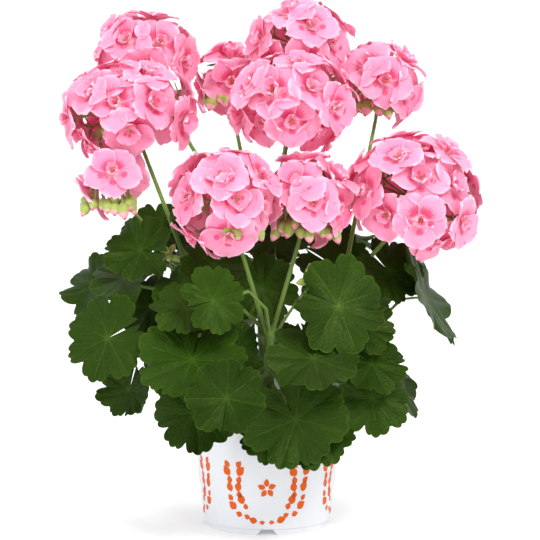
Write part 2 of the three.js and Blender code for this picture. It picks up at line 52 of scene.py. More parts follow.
def paint(name, roughness=0.5):
    """A node material. Returns it and add(kind, inputs, settings), which makes a node, sets each named input
    to a number or colour or links it to another node's output, and returns the node. add.join does the same
    for the inputs of the material's own shader."""
    material = bpy.data.materials.new(name)
    material.use_nodes = True
    tree = material.node_tree
    shader = tree.nodes["Principled BSDF"]
    shader.inputs["Roughness"].default_value = roughness

    def join(node, inputs):
        for key, value in inputs.items():
            if isinstance(value, bpy.types.NodeSocket):
                tree.links.new(value, node.inputs[key])
            else:
                node.inputs[key].default_value = value

    def add(kind, inputs=None, **settings):
        node = tree.nodes.new("ShaderNode" + kind)
        for key, value in settings.items():
            setattr(node, key, value)
        join(node, inputs or {})
        return node

    add.join = lambda inputs: join(shader, inputs)
    add.shader = shader
    add.output = tree.nodes["Material Output"]
    add.tree = tree
    return material, add


def number(add, operation, *values, clamp=False):
    """The output of a Math node with the given operation and up to three values or sockets."""
    return add("Math", dict(enumerate(values)), operation=operation, use_clamp=clamp).outputs[0]


def times(add, a, b):
    """The product of two numbers or sockets."""
    return number(add, "MULTIPLY", a, b)


def blend(add, amount, low, high):
    """A colour between low and high."""
    node = add("Mix", {0: amount, 6: low, 7: high}, data_type="RGBA")
    return node.outputs[2]


def ramp(add, value, low, high):
    """0 below low, 1 above high, smooth between."""
    node = add("MapRange", {0: value, 1: low, 2: high, 3: 0.0, 4: 1.0}, interpolation_type="SMOOTHSTEP")
    return node.outputs[0]


def noise(add, scale, detail=3.0, roughness=0.5):
    """Noise between 0 and 1 in the object's own space, scale in features per metre."""
    place = add("TexCoord").outputs["Object"]
    inputs = {"Vector": place, "Scale": scale, "Detail": detail, "Roughness": roughness}
    return add("TexNoise", inputs).outputs[0]


def bump(add, height, strength, distance):
    """The normal of a surface that is raised by height times distance metres."""
    return add("Bump", {"Height": height, "Strength": strength, "Distance": distance}).outputs[0]


def given(add, *keys):
    """The numbers of those names that a piece's mesh holds for every point."""
    return [add("Attribute", attribute_name=key).outputs["Fac"] for key in keys]


def weld(thing, split=None):
    """Joins the facets' loose corners and shades them smooth, with an edge kept sharp where it turns by more
    than split degrees."""
    thing.data.polygons.foreach_set("use_smooth", np.ones(len(thing.data.polygons), bool))
    thing.modifiers.new("weld", "WELD").merge_threshold = CORNER
    if split:
        edge = thing.modifiers.new("edges", "EDGE_SPLIT")
        edge.split_angle = math.radians(split)


def show(node, material):
    """Gives a CAD node that stays in sight its material."""
    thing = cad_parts[node]
    thing.data.materials.clear()
    thing.data.materials.append(material)
    return thing


pot_white, add = paint("pot_white", 0.36)
cloud = noise(add, 22.0, 2.0)
grain = noise(add, 900.0, 2.0)
add.join({
    "Base Color": blend(add, cloud, (0.74, 0.76, 0.8, 1), (0.78, 0.79, 0.81, 1)),
    "Roughness": number(add, "MULTIPLY_ADD", cloud, 0.12, 0.3),
    "Normal": bump(add, grain, 0.12, 0.0002),
    "Subsurface Weight": 0.12,
    "Subsurface Radius": (0.006, 0.006, 0.006),
    "Specular IOR Level": 0.45,
})
pot = show("pot", pot_white)
weld(pot, 32)

# ---- Printed garland ------------------------------------------
# The print on the pot's wall: four garlands of almond leaves in flat orange ink, each in the shape of a U,
# with a small blossom in it. The ink follows the wall and lies a few hundredths of a millimetre over it.

WALL_SIDES = 40         # flats round the pot's wall
WALL_LOW = 0.0046       # height where the tapered wall starts
WALL_FOOT = 0.0469      # the wall's radius there
WALL_TAPER = 0.111      # radius gained for each metre of height
FRONT = 0.0525          # radius at which distances across the front are measured
GARLANDS = 4
ARM = 0.0255            # from a garland's middle to its arms
GARLAND_LOW = 0.0095
CURVE_HIGH = 0.033      # height where the bottom curve turns into the arms
CURVE_RUN = 0.039       # length of half the bottom curve
LEAF_STEP = 0.006       # from one printed leaf to the next
INK = 0.00006


def quads(rows, cols, wrap=False):
    """Four corners of every cell in a grid of rows by cols points, closed round its columns if wrap."""
    i = np.arange(rows - 1)[:, None]
    j = np.arange(cols if wrap else cols - 1)[None, :]
    k = (j + 1) % cols
    return np.stack([i * cols + j, i * cols + k, (i + 1) * cols + k, (i + 1) * cols + j], -1).reshape(-1, 4)


def piece(name, points, faces, materials, nodes=(), values=None, parts=None):
    """A finished piece from points (n, 3) and a list of face arrays. values holds named numbers for each
    point, parts the material number of each face. It rides on the root and stands for the CAD nodes."""
    mesh = bpy.data.meshes.new(name)
    mesh.vertices.add(len(points))
    mesh.vertices.foreach_set("co", np.ascontiguousarray(points, np.float32).ravel())
    counts = np.concatenate([np.full(len(f), f.shape[1]) for f in faces])
    corners = np.concatenate([f.ravel() for f in faces])
    mesh.loops.add(len(corners))
    mesh.loops.foreach_set("vertex_index", corners.astype(np.int32))
    mesh.polygons.add(len(counts))
    mesh.polygons.foreach_set("loop_start", (np.cumsum(counts) - counts).astype(np.int32))
    mesh.polygons.foreach_set("use_smooth", np.ones(len(counts), bool))
    if parts is not None:
        mesh.polygons.foreach_set("material_index", parts.astype(np.int32))
    mesh.update(calc_edges=True)
    mesh.set_sharp_from_angle(angle=math.radians(80))
    for key, numbers in (values or {}).items():
        layer = mesh.attributes.new(key, "FLOAT", "POINT")
        layer.data.foreach_set("value", np.ascontiguousarray(numbers, np.float32).ravel())
    for material in materials:
        mesh.materials.append(material)
    thing = bpy.data.objects.new(name, mesh)
    bpy.context.scene.collection.objects.link(thing)
    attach(thing, "root")
    if nodes:
        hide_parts(*nodes)
    return thing


def scatter(n, k):
    """Even, repeatable scatter between -1 and 1 for the n-th thing and its k-th trait."""
    return 2 * np.mod((np.asarray(n) + 1) * 0.618034 + k * 0.414214 + np.asarray(n) * k * 0.271828, 1.0) - 1


def on_wall(across, height):
    """The place on the pot's flat-sided wall at a distance across its front or further round, and a height:
    radius = foot + taper * height, times cos(half side) / cos(angle from the side's middle)."""
    radius = WALL_FOOT + WALL_TAPER * (height - WALL_LOW)
    angle = across / FRONT - math.pi / 2
    half = math.pi / WALL_SIDES
    flat = np.cos(half) / np.cos(np.mod(angle, 2 * half) - half)
    return np.stack([radius * flat * np.cos(angle), radius * flat * np.sin(angle), height], -1)


def garland():
    """Leaves and petals as (across, height, direction, length, width) rows. Each half of a garland follows a
    quarter ellipse from the bottom out and then an upright arm. Its leaves stand end to end, one row at the
    bottom and two rows further up, large and small by turns, and each leans a little its own way."""
    rows = []
    for g in range(GARLANDS):
        middle = 2 * math.pi / GARLANDS * g * FRONT
        for side in (-1, 1):
            for step in range(10):
                run = 0.0016 + LEAF_STEP * step
                turn = min(run / CURVE_RUN, 1) * math.pi / 2
                x = ARM * math.sin(turn)
                z = CURVE_HIGH - (CURVE_HIGH - GARLAND_LOW) * math.cos(turn) + max(0, run - CURVE_RUN)
                along = math.atan2((CURVE_HIGH - GARLAND_LOW) * math.sin(turn), ARM * math.cos(turn))
                for lean in ((0,) if step < 3 else (-1, 1)):
                    n = step * 4 + side + lean + 2
                    length = 0.0055 + 0.00016 * step + 0.0004 * scatter(n, 3)
                    length += 0.0017 if (step + lean) % 2 else -0.0007
                    width = length * (0.74 + 0.06 * scatter(n, 7))
                    shift = lean * 0.0031 + 0.0006 * scatter(n, 9)
                    way = along - lean * math.radians(26 + 12 * scatter(n, 5))
                    across = x + shift * math.sin(along)
                    up = z - shift * math.cos(along)
                    if side < 0:
                        across, way = -across, math.pi - way
                    rows.append((middle + across, up, way, length, width))
        for petal in range(5):
            way = math.radians(90 + 72 * petal)
            across, up = 0.0012 * math.cos(way), 0.035 + 0.0012 * math.sin(way)
            rows.append((middle + across, up, way, 0.0062, 0.0042))
    return np.array(rows)


def ink(rows, u_steps=10, v_steps=5):
    """Thin closed almonds, u running along them and v from -1 to 1 across: a point lies length * u along and
    width / 2 * sin(pi * u ** 0.85) * v + 0.05 * length * sin(pi * u) aside."""
    u = np.linspace(0.02, 0.98, u_steps)[None, :, None]
    v = np.linspace(-1, 1, v_steps)[None, None, :]
    x, z, way, length, width = (rows[:, k][:, None, None] for k in range(5))
    run = length * u + 0 * v
    off = width / 2 * np.sin(np.pi * u ** 0.85) * v + 0.05 * length * np.sin(np.pi * u)
    across = x + run * np.cos(way) - off * np.sin(way)
    height = z + run * np.sin(way) + off * np.cos(way)
    flat = on_wall(across, np.clip(height, 0.0062, None))
    out = flat * np.array([1, 1, 0]) / np.linalg.norm(flat[..., :2], axis=-1)[..., None]
    both = np.stack([flat + out * INK, flat - out * 0.0001], 1).reshape(-1, 3)
    cells = quads(u_steps, v_steps)
    size = u_steps * v_steps
    rim = np.concatenate([np.arange(v_steps), np.arange(1, u_steps) * v_steps + v_steps - 1,
                          size - 2 - np.arange(v_steps - 1), np.arange(u_steps - 2, 0, -1) * v_steps])
    wall = np.stack([rim, np.roll(rim, -1), np.roll(rim, -1) + size, rim + size], -1)
    one = np.concatenate([cells[:, ::-1], cells + size, wall])
    return both, (one[None] + (np.arange(len(rows)) * 2 * size)[:, None, None]).reshape(-1, 4)


orange_ink, add = paint("orange_ink", 0.42)
add.join({
    "Base Color": blend(add, noise(add, 700.0), (0.7, 0.085, 0.002, 1), (0.76, 0.13, 0.006, 1)),
    "Normal": bump(add, noise(add, 1500.0), 0.1, 0.0001),
    "Specular IOR Level": 0.2,
})
points, faces = ink(garland())
piece("pot_garland_print", points, [faces], [orange_ink])

# ---- Potting soil ---------------------------------------------
# Dark peat soil that fills the pot to a centimetre under the lip: an uneven, fibrous top with loose crumbs
# and a few white grains of perlite on it.

SOIL_LOW, SOIL_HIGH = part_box("potting_soil")
GOLDEN = 2.39996        # the turn, in radians, that spreads things evenly over a disc or a ball


def soil_body(rings=26, cols=120):
    """A closed block: floor, tapered side and a top whose height is a sum of sines of its place."""
    low, high = SOIL_LOW.z, SOIL_HIGH.z
    edge = SOIL_HIGH.x
    out = np.concatenate([[0.0, 0.5, 0.83, 0.86], [0.985, 0.993], np.linspace(0.97, 0.02, rings - 6)])
    rise = np.concatenate([[0.0, 0.0, 0.0, 0.04], [0.93, 0.955], np.full(rings - 6, 1.0)])
    angle = np.linspace(0, 2 * np.pi, cols, endpoint=False)
    x = edge * out[:, None] * np.cos(angle)
    y = edge * out[:, None] * np.sin(angle)
    top = (rise > 0.99)[:, None]
    wave = 0.0007 * np.sin(x * 190 + 1) * np.cos(y * 170) + 0.0005 * np.sin(x * 640) * np.sin(y * 590 + 2)
    fine = 0.0004 * np.sin(x * 2100 + 3 * np.sin(y * 900)) * np.sin(y * 1900)
    dome = -0.0024 * out[:, None] ** 2
    z = low + (high - 0.0012 - low) * rise[:, None] + np.where(top, wave + fine + dome, 0.0)
    grid = np.stack([x, y, z + 0 * x], -1)
    grid[0] = [0, 0, low]
    points = np.concatenate([grid[0, :1], grid[1:].reshape(-1, 3), grid[-1:].mean(1)])
    ring = np.arange(cols)
    last = 1 + (rings - 2) * cols
    fan = np.stack([np.zeros(cols, int), 1 + np.roll(ring, -1), 1 + ring], -1)
    cap = np.stack([last + ring, last + np.roll(ring, -1), np.full(cols, len(points) - 1)], -1)
    return points, [fan, quads(rings - 1, cols, True) + 1, cap]


def crumbs(count=420):
    """Loose crumbs: eight-cornered lumps of uneven size, strewn evenly over the soil's top."""
    n = np.arange(count)
    reach = SOIL_HIGH.x * 0.95 * np.sqrt((n + 0.5) / count)
    angle = n * GOLDEN
    size = 0.0011 * (1 + 0.6 * scatter(n, 4))
    base = np.array([[a, b, c] for a in (-1, 1) for b in (-1, 1) for c in (-1, 1)], float)
    jitter = scatter(n[:, None, None] * 24 + np.arange(24).reshape(8, 3)[None], 2) * 0.45
    turn = angle[:, None, None]
    lump = (base[None] + jitter) * size[:, None, None]
    c, s = np.cos(turn[..., 0]), np.sin(turn[..., 0])
    x, y = lump[..., 0], lump[..., 1]
    spun = np.stack([x * c - y * s, x * s + y * c, lump[..., 2]], -1)
    height = SOIL_HIGH.z - 0.001 - 0.0024 * (reach / SOIL_HIGH.x) ** 2
    place = np.stack([reach * np.cos(angle), reach * np.sin(angle), height], -1)
    cube = np.array([[0, 1, 3, 2], [4, 6, 7, 5], [0, 4, 5, 1], [2, 3, 7, 6], [0, 2, 6, 4], [1, 5, 7, 3]])
    faces = (cube[None] + (n * 8)[:, None, None]).reshape(-1, 4)
    return (spun + place[:, None]).reshape(-1, 3), faces, np.repeat(n % 9 == 4, 6)


peat, add = paint("peat", 0.92)
clump = noise(add, 260.0, 6.0, 0.7)
add.join({
    "Base Color": blend(add, clump, (0.012, 0.008, 0.005, 1), (0.075, 0.046, 0.027, 1)),
    "Normal": bump(add, noise(add, 1400.0, 4.0, 0.7), 0.9, 0.0012),
})
perlite, add = paint("perlite", 0.85)
add.join({"Base Color": blend(add, noise(add, 900.0), (0.5, 0.47, 0.42, 1), (0.75, 0.73, 0.68, 1))})
body, body_faces = soil_body()
lumps, lump_faces, white = crumbs()
parts = np.concatenate([np.zeros(sum(len(f) for f in body_faces), int), white.astype(int)])
piece("potting_soil_top", np.concatenate([body, lumps]), [*body_faces, lump_faces + len(body)],
      [peat, perlite], ["potting_soil"], parts=parts)

# ---- Shoots ---------------------------------------------------
# Fleshy green stems with their leaf stalks and flower stalks. The grown solids show themselves, rounded off
# and blended where a stalk leaves its stem. They are finely haired, darker lower down, brighter higher up.

SKIN_CELL = 0.0008      # cell of the rounded skin

stalk_green, add = paint("stalk_green", 0.5)
height = add("SeparateXYZ", {0: add("TexCoord").outputs["Object"]}).outputs[2]
young = ramp(add, height, 0.1, 0.26)
streak = noise(add, 420.0, 3.0)
tone = blend(add, young, (0.075, 0.13, 0.012, 1), (0.12, 0.24, 0.02, 1))
add.join({
    "Base Color": blend(add, times(add, streak, 0.5), tone, (0.2, 0.32, 0.045, 1)),
    "Roughness": number(add, "MULTIPLY_ADD", streak, 0.2, 0.4),
    "Normal": bump(add, noise(add, 2600.0, 2.0), 0.35, 0.0003),
    "Subsurface Weight": 0.15,
    "Subsurface Radius": (0.002, 0.003, 0.001),
    "Sheen Weight": 0.25,
    "Sheen Tint": (0.8, 0.95, 0.6, 1),
})
for number_of_shoot in range(1, 5):
    shoot = show(f"shoot_{number_of_shoot}", stalk_green)
    shoot.modifiers.new("weld", "WELD").merge_threshold = CORNER
    skin = shoot.modifiers.new("skin", "REMESH")
    skin.mode = "VOXEL"
    skin.voxel_size = SKIN_CELL
    skin.use_smooth_shade = True
    smooth = shoot.modifiers.new("smooth", "SMOOTH")
    smooth.factor = 0.5
    smooth.iterations = 5

# ---- Flower heads ---------------------------------------------
# Umbels of semi-double florets. Each floret has five broad outer petals and a few smaller inner ones round a
# white throat with stamens, held by five green sepals on a thin pedicel; unopened buds hang on bent pedicels.

FLORET = 0.042
BUD_WIDTH = 0.005
PLACES = 200            # places on an umbel's shell where a filling floret may stand
BARE = 60               # degrees round the flower stalk that stay free of them
DEPTH = 0.87            # how far out a filling floret stands, against its neighbours
ROOM = 0.0175           # gap between florets that takes no more
SPREAD = 16             # degrees between the buds of a bunch
PETAL_SHEET = 0.0003
SEPAL_SHEET = 0.00025
UPWARD = np.array([0.0, 0.0, 1.0])


def fans(node):
    """Every corner of a CAD node: its place, the sum of the facet angles round it, the facets' mean outward
    way there, how far the facets rise (+) or fall (-) along that way as they leave it, and the facets."""
    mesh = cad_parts[node].data
    mesh.calc_loop_triangles()
    places = np.empty(len(mesh.vertices) * 3, np.float32)
    mesh.vertices.foreach_get("co", places)
    triangles = np.empty(len(mesh.loop_triangles) * 3, np.int32)
    mesh.loop_triangles.foreach_get("vertices", triangles)
    key = np.round(places.reshape(-1, 3) * 1e6).astype(np.int64)
    _, first, same = np.unique(key, axis=0, return_index=True, return_inverse=True)
    corner = places.reshape(-1, 3)[first].astype(float)
    tri = same.reshape(-1)[triangles].reshape(-1, 3)
    p = corner[tri]
    face = unit(np.cross(p[:, 1] - p[:, 0], p[:, 2] - p[:, 0]))
    total = np.zeros(len(corner))
    way = np.zeros((len(corner), 3))
    leave = np.zeros((len(corner), 3))
    for k in range(3):
        a = unit(p[:, (k + 1) % 3] - p[:, k])
        b = unit(p[:, (k + 2) % 3] - p[:, k])
        angle = np.arccos(np.clip((a * b).sum(1), -1, 1))
        np.add.at(total, tri[:, k], angle)
        np.add.at(way, tri[:, k], face * angle[:, None])
        np.add.at(leave, tri[:, k], (a + b) * angle[:, None])
    way = unit(way)
    return corner, np.degrees(total), way, (leave * way).sum(1) / (2 * total + 1e-9), tri


def unit(v):
    """Vectors of length one."""
    return v / (np.linalg.norm(v, axis=-1, keepdims=True) + 1e-12)


def knot_of(corner, total, way, rise):
    """The middle of the knot that the little stalks spread from: its two poles face opposite ways."""
    poles = np.where((abs(total - 293.9) < 2.0) & (abs(rise + 0.572) < 0.02))[0]
    facing = way[poles] @ way[poles].T
    apart = np.linalg.norm(corner[poles][:, None] - corner[poles][None], axis=-1)
    a, b = np.unravel_index(np.argmin(np.where((facing < -0.97) & (apart > 0.004), apart, 9)), apart.shape)
    low = poles[a] if corner[poles[a]][2] < corner[poles[b]][2] else poles[b]
    return (corner[poles[a]] + corner[poles[b]]) / 2, way[low]


def fill(throat, axis, knot, down):
    """Florets for the gaps of an umbel. Of an even spiral of places on its shell, the one farthest from every
    floret is taken again and again until no gap is left. Its reach is the mean of the florets' reaches, each
    weighed by exp(7 * cos of the angle to it), times DEPTH."""
    n = np.arange(PLACES)
    z = 1 - 2 * (n + 0.5) / PLACES
    flat = np.sqrt(1 - z * z)
    ways = np.stack([flat * np.cos(n * GOLDEN), flat * np.sin(n * GOLDEN), z], -1)
    ways = ways[(ways * down).sum(1) < math.cos(math.radians(BARE))]
    reach = np.linalg.norm(throat - knot, axis=1)
    weight = np.exp(7 * (ways @ unit(throat - knot).T))
    place = knot + ways * ((weight @ reach) / weight.sum(1) * DEPTH)[:, None]
    have_throat, have_axis = throat, axis
    while True:
        apart = np.linalg.norm(place[:, None] - have_throat[None], axis=-1).min(1)
        pick = np.argmax(apart)
        if apart[pick] < ROOM:
            return have_throat, have_axis
        have_throat = np.concatenate([have_throat, place[pick:pick + 1]])
        have_axis = np.concatenate([have_axis, unit(ways[pick:pick + 1] + 0.1 * UPWARD)])


def buds_of(corner, total, way, rise, knot, width):
    """Middle, way and length of each bud, from the pointed poles that face away from the knot. A narrow pole
    means a long bud: length = 4 * width * sqrt((0.2545 / sin(half a facet's angle)) ** 2 - 0.1875)."""
    tips = (total > 196) & (total < 236) & (rise < -0.7) & (((corner - knot) * way).sum(1) > 0.004)
    half = np.radians(total[tips]) / 10
    length = width * 4 * np.sqrt((0.2545 / np.sin(half)) ** 2 - 0.1875)
    return corner[tips] - way[tips] * length[:, None] / 2, way[tips], length


def bunch(middle, way, length, knot):
    """Buds and, beside each, two younger ones that hang from the same knot, turned to either side."""
    turned = [middle]
    hang = [way]
    for side in (-1, 1):
        c, s = math.cos(math.radians(SPREAD)), math.sin(math.radians(SPREAD)) * side
        spin = np.array([[c, -s, 0], [s, c, 0], [0, 0, 1]])
        turned.append(knot + (middle - knot) @ spin.T * 0.86 + 0.0012 * UPWARD * side)
        hang.append(way @ spin.T)
    return np.concatenate(turned), np.concatenate(hang), np.concatenate([length * 1.2, length, length * 0.9])


def around(axis, lead):
    """Two directions square to each axis; the first points as near as it can to lead."""
    first = unit(lead - (lead * axis).sum(-1, keepdims=True) * axis)
    return first, np.cross(axis, first)


def thin(top, thickness):
    """Closed thin shells over grids of points (n, rows, cols, 3): a second sheet lies thickness under the
    first and shares its edge. Returns points, faces, and the grid number of every point."""
    n, rows, cols, _ = top.shape
    du = np.gradient(top, axis=1)
    dv = np.gradient(top, axis=2)
    under = top - unit(np.cross(du, dv)) * thickness
    inner = np.arange(rows * cols).reshape(rows, cols)
    lower = inner.copy()
    lower[1:-1, 1:-1] = rows * cols + np.arange((rows - 2) * (cols - 2)).reshape(rows - 2, cols - 2)
    cells = quads(rows, cols)
    one = np.concatenate([inner.ravel()[cells], lower.ravel()[cells][:, ::-1]])
    each = rows * cols + (rows - 2) * (cols - 2)
    points = np.concatenate([top.reshape(n, -1, 3), under[:, 1:-1, 1:-1].reshape(n, -1, 3)], 1)
    faces = (one[None] + (np.arange(n) * each)[:, None, None]).reshape(-1, 4)
    return points.reshape(-1, 3), faces, (n, each, rows, cols)


def spread_values(shape, grid):
    """Numbers given on the grid (n, rows, cols) for every point of the thin shells made from it."""
    n, _, rows, cols = shape
    grid = np.broadcast_to(grid, (n, rows, cols))
    return np.concatenate([grid.reshape(n, -1), grid[:, 1:-1, 1:-1].reshape(n, -1)], 1).ravel()


def petals(throat, axis, seeds, whorl):
    """Petals of every floret as grids. Along a petal u runs from its claw to its tip, across it v from -1 to
    1. Half its width grows as a quarter sine to two thirds of its length and closes in a broad round tip. It
    leaves the throat at a slant and bends over, its sides lift by v squared, and its edge waves a little."""
    inner = whorl == 1
    count = 4 if inner else 5
    rows, cols = (7, 7) if inner else (10, 9)
    u = np.sin(np.linspace(0, math.pi / 2, rows))[None, :, None]
    v = np.linspace(-1, 1, cols)[None, None, :]
    index = (seeds[:, None] * 11 + np.arange(count)[None] * 3 + whorl * 5).ravel()
    order = np.arange(count)[None]
    stray = (0.35 if inner else 0.08) * scatter(seeds[:, None] * 5 + order, 1 + whorl)
    turn = (order * 2 * np.pi / count + (0.2 if inner else np.pi / 5) + stray).ravel()
    pick = [scatter(index, k)[:, None, None] for k in (2, 3, 4, 5, 6)]
    share = np.repeat(np.where(seeds % 4 == 0, 0.3, 0.2), count)[:, None, None] if inner else 0.5
    length = FLORET * share * (1 + 0.06 * pick[0])
    half = FLORET * share / 2 * (1 + 0.08 * pick[1])
    tilt = np.radians((50 if inner else 16) + (16 if inner else 11) * pick[2])
    wide = 0.14 + 0.86 * np.sin(np.pi / 2 * np.minimum(1, u / 0.62)) ** 1.2
    close = np.sqrt(1 - 0.93 * np.clip((u - 0.6) / 0.4, 0, 1) ** 2.2)
    y = half * wide * close * v
    run = length * u * (1 - 0.04 * v ** 2 * u ** 2 - 0.03 * np.cos(4 * v + 3 * pick[3]) * u ** 4)
    bow = (0.2 if inner else 0.3) * length * u * (1 - 0.8 * u)
    cup = (0.35 if inner else 0.1) * half * v ** 2 * (0.4 + 0.6 * u)
    wave = 0.045 * np.sin(4 * v + 6 * pick[3]) + 0.028 * np.sin(8 * v - 5 * pick[1])
    ruffle = length * u ** 2 * wave
    side = 0.06 * length * pick[4] * v * u
    lift = bow + cup + ruffle + side - (0.04 if inner else 0.17) * length * u ** 3
    x = run * np.cos(tilt) - lift * np.sin(tilt)
    z = run * np.sin(tilt) + lift * np.cos(tilt)
    first, second = around(axis, UPWARD + 0.02)
    each = np.repeat(np.arange(len(throat)), count)
    c, s = np.cos(turn)[:, None], np.sin(turn)[:, None]
    out = first[each] * c + second[each] * s
    over = second[each] * c - first[each] * s
    step = (np.arange(len(each)) % 2 * 0.0005)[:, None]
    root = throat[each] + axis[each] * ((0.0016 if inner else 0.0004) + step)
    top = root[:, None, None] + x[..., None] * out[:, None, None] \
        + y[..., None] * over[:, None, None] + z[..., None] * axis[each][:, None, None]
    flat = 0 * u * v
    upper = (np.cos(turn) > 0.3)[:, None, None] * (0.0 if inner else 1.0)
    return top, dict(u=u + flat, v=v + flat, upper=upper + flat, tone=pick[0] + flat,
                     inner=np.full((1, 1, 1), float(inner)))


def tubes(path, radius, sides=6):
    """Closed round tubes along paths (n, steps, 3), radius (n or 1, steps), with a point at each end."""
    n, steps, _ = path.shape
    along = unit(np.gradient(path, axis=1))
    first, second = around(along, np.array([0.31, 0.17, 0.93]) + 0 * along)
    angle = np.linspace(0, 2 * np.pi, sides, endpoint=False)
    ring = first[:, :, None] * np.cos(angle)[:, None] + second[:, :, None] * np.sin(angle)[:, None]
    skin = path[:, :, None] + ring * np.broadcast_to(radius, (n, steps))[:, :, None, None]
    points = np.concatenate([path[:, :1], skin.reshape(n, -1, 3), path[:, -1:]], 1)
    turn = np.arange(sides)
    last = 1 + (steps - 1) * sides
    cap = np.stack([np.zeros(sides, int), 1 + np.roll(turn, -1), 1 + turn], -1)
    end = np.stack([last + turn, last + np.roll(turn, -1), np.full(sides, last + sides)], -1)
    body = quads(steps, sides, True) + 1
    shift = (np.arange(n) * (last + sides + 1))[:, None, None]
    triangles = (np.concatenate([cap, end])[None] + shift).reshape(-1, 3)
    return points.reshape(-1, 3), [(body[None] + shift).reshape(-1, 4), triangles]


def bend(start, handle, end, steps):
    """Points of the arcs that leave start towards handle and reach end from it."""
    t = np.linspace(0, 1, steps)[None, :, None]
    return start[:, None] * (1 - t) ** 2 + handle[:, None] * 2 * t * (1 - t) + end[:, None] * t ** 2


class Bundle:
    """Gathers shells that make up one piece, with their material numbers and values."""

    def __init__(self, keys):
        self.keys, self.points, self.faces, self.parts = keys, [], [], []
        self.values = {key: [] for key in keys}
        self.total = 0

    def add(self, points, faces, part, **values):
        for block in faces:
            self.faces.append(block + self.total)
            self.parts.append(np.full(len(block), part))
        self.points.append(points)
        self.total += len(points)
        for key in self.keys:
            self.values[key].append(np.broadcast_to(values.get(key, 0.0), len(points)))

    def make(self, name, materials, nodes):
        values = {key: np.concatenate(v) for key, v in self.values.items()}
        return piece(name, np.concatenate(self.points), self.faces, materials, nodes, values,
                     np.concatenate(self.parts))


def bud_shells(bundle, middle, way, length, width, seeds, ripe=1.0, steps=9, sides=10):
    """Buds: a drop whose radius is 0.68 * width * sin(pi * t ** 0.85) ** 0.8, with five shallow ridges. An
    unripe bud has no pink at its tip."""
    t = np.linspace(0.03, 0.97, steps)
    path = middle[:, None] + way[:, None] * (length[:, None] * (t - 0.5))[..., None]
    radius = (width * 0.68 * np.sin(np.pi * t ** 0.85) ** 0.8)[None] * (1 + 0.12 * scatter(seeds, 6))[:, None]
    points, faces = tubes(path, radius, sides)
    along = np.concatenate([[0.0], np.repeat(t, sides), [1.0]])
    ridge = 1 + 0.07 * np.cos(5 * np.linspace(0, 2 * np.pi, sides, endpoint=False))
    middle_line = np.concatenate([path[:, :1], np.repeat(path, sides, 1), path[:, -1:]], 1).reshape(-1, 3)
    swell = np.tile(np.concatenate([[1.0], np.tile(ridge, steps), [1.0]]), len(middle))
    points = middle_line + (points - middle_line) * swell[:, None]
    bundle.add(points, faces, 2, u=np.tile(along, len(middle)) * ripe,
               tone=np.repeat(scatter(seeds, 7), len(along)))


def knot_shell(bundle, knot):
    """The swollen knot at the top of the flower stalk, with small bracts round it."""
    t = np.linspace(0, 1, 7)
    path = knot[None, None] + np.stack([0 * t, 0 * t, 0.0072 * (t - 0.5)], -1)[None]
    points, faces = tubes(path, 0.0031 * np.sin(np.pi * (0.06 + 0.88 * t)) ** 0.6, 12)
    bundle.add(points, faces, 1, u=0.2)
    bract(bundle, np.repeat(knot[None], 6, 0), np.repeat(UPWARD[None], 6, 0), np.arange(6) * np.pi / 3,
          0.0062, 0.0015, -0.35, 0.0026)


def bract(bundle, place, axis, turn, length, half, tilt, start):
    """Pointed green sepals round an axis: half width is half * sin(pi * u ** 0.7), curled up at the sides."""
    u = np.linspace(0.03, 0.97, 6)[None, :, None]
    v = np.linspace(-1, 1, 4)[None, None, :]
    y = half * np.sin(np.pi * u ** 0.7) * v
    lift = 0.35 * half * v ** 2 + 0.12 * length * u ** 2
    x = start + length * u * np.cos(tilt) - lift * np.sin(tilt)
    z = length * u * np.sin(tilt) + lift * np.cos(tilt)
    first, second = around(axis, UPWARD + np.array([0.03, 0.02, 0.0]))
    c, s = np.cos(turn)[:, None], np.sin(turn)[:, None]
    out, over = first * c + second * s, second * c - first * s
    top = place[:, None, None] + x[..., None] * out[:, None, None] + y[..., None] * over[:, None, None] \
        + (z + 0 * v)[..., None] * axis[:, None, None]
    points, faces, shape = thin(top, SEPAL_SHEET)
    bundle.add(points, [faces], 1, u=spread_values(shape, u + 0 * v) * 0.45 + 0.25)


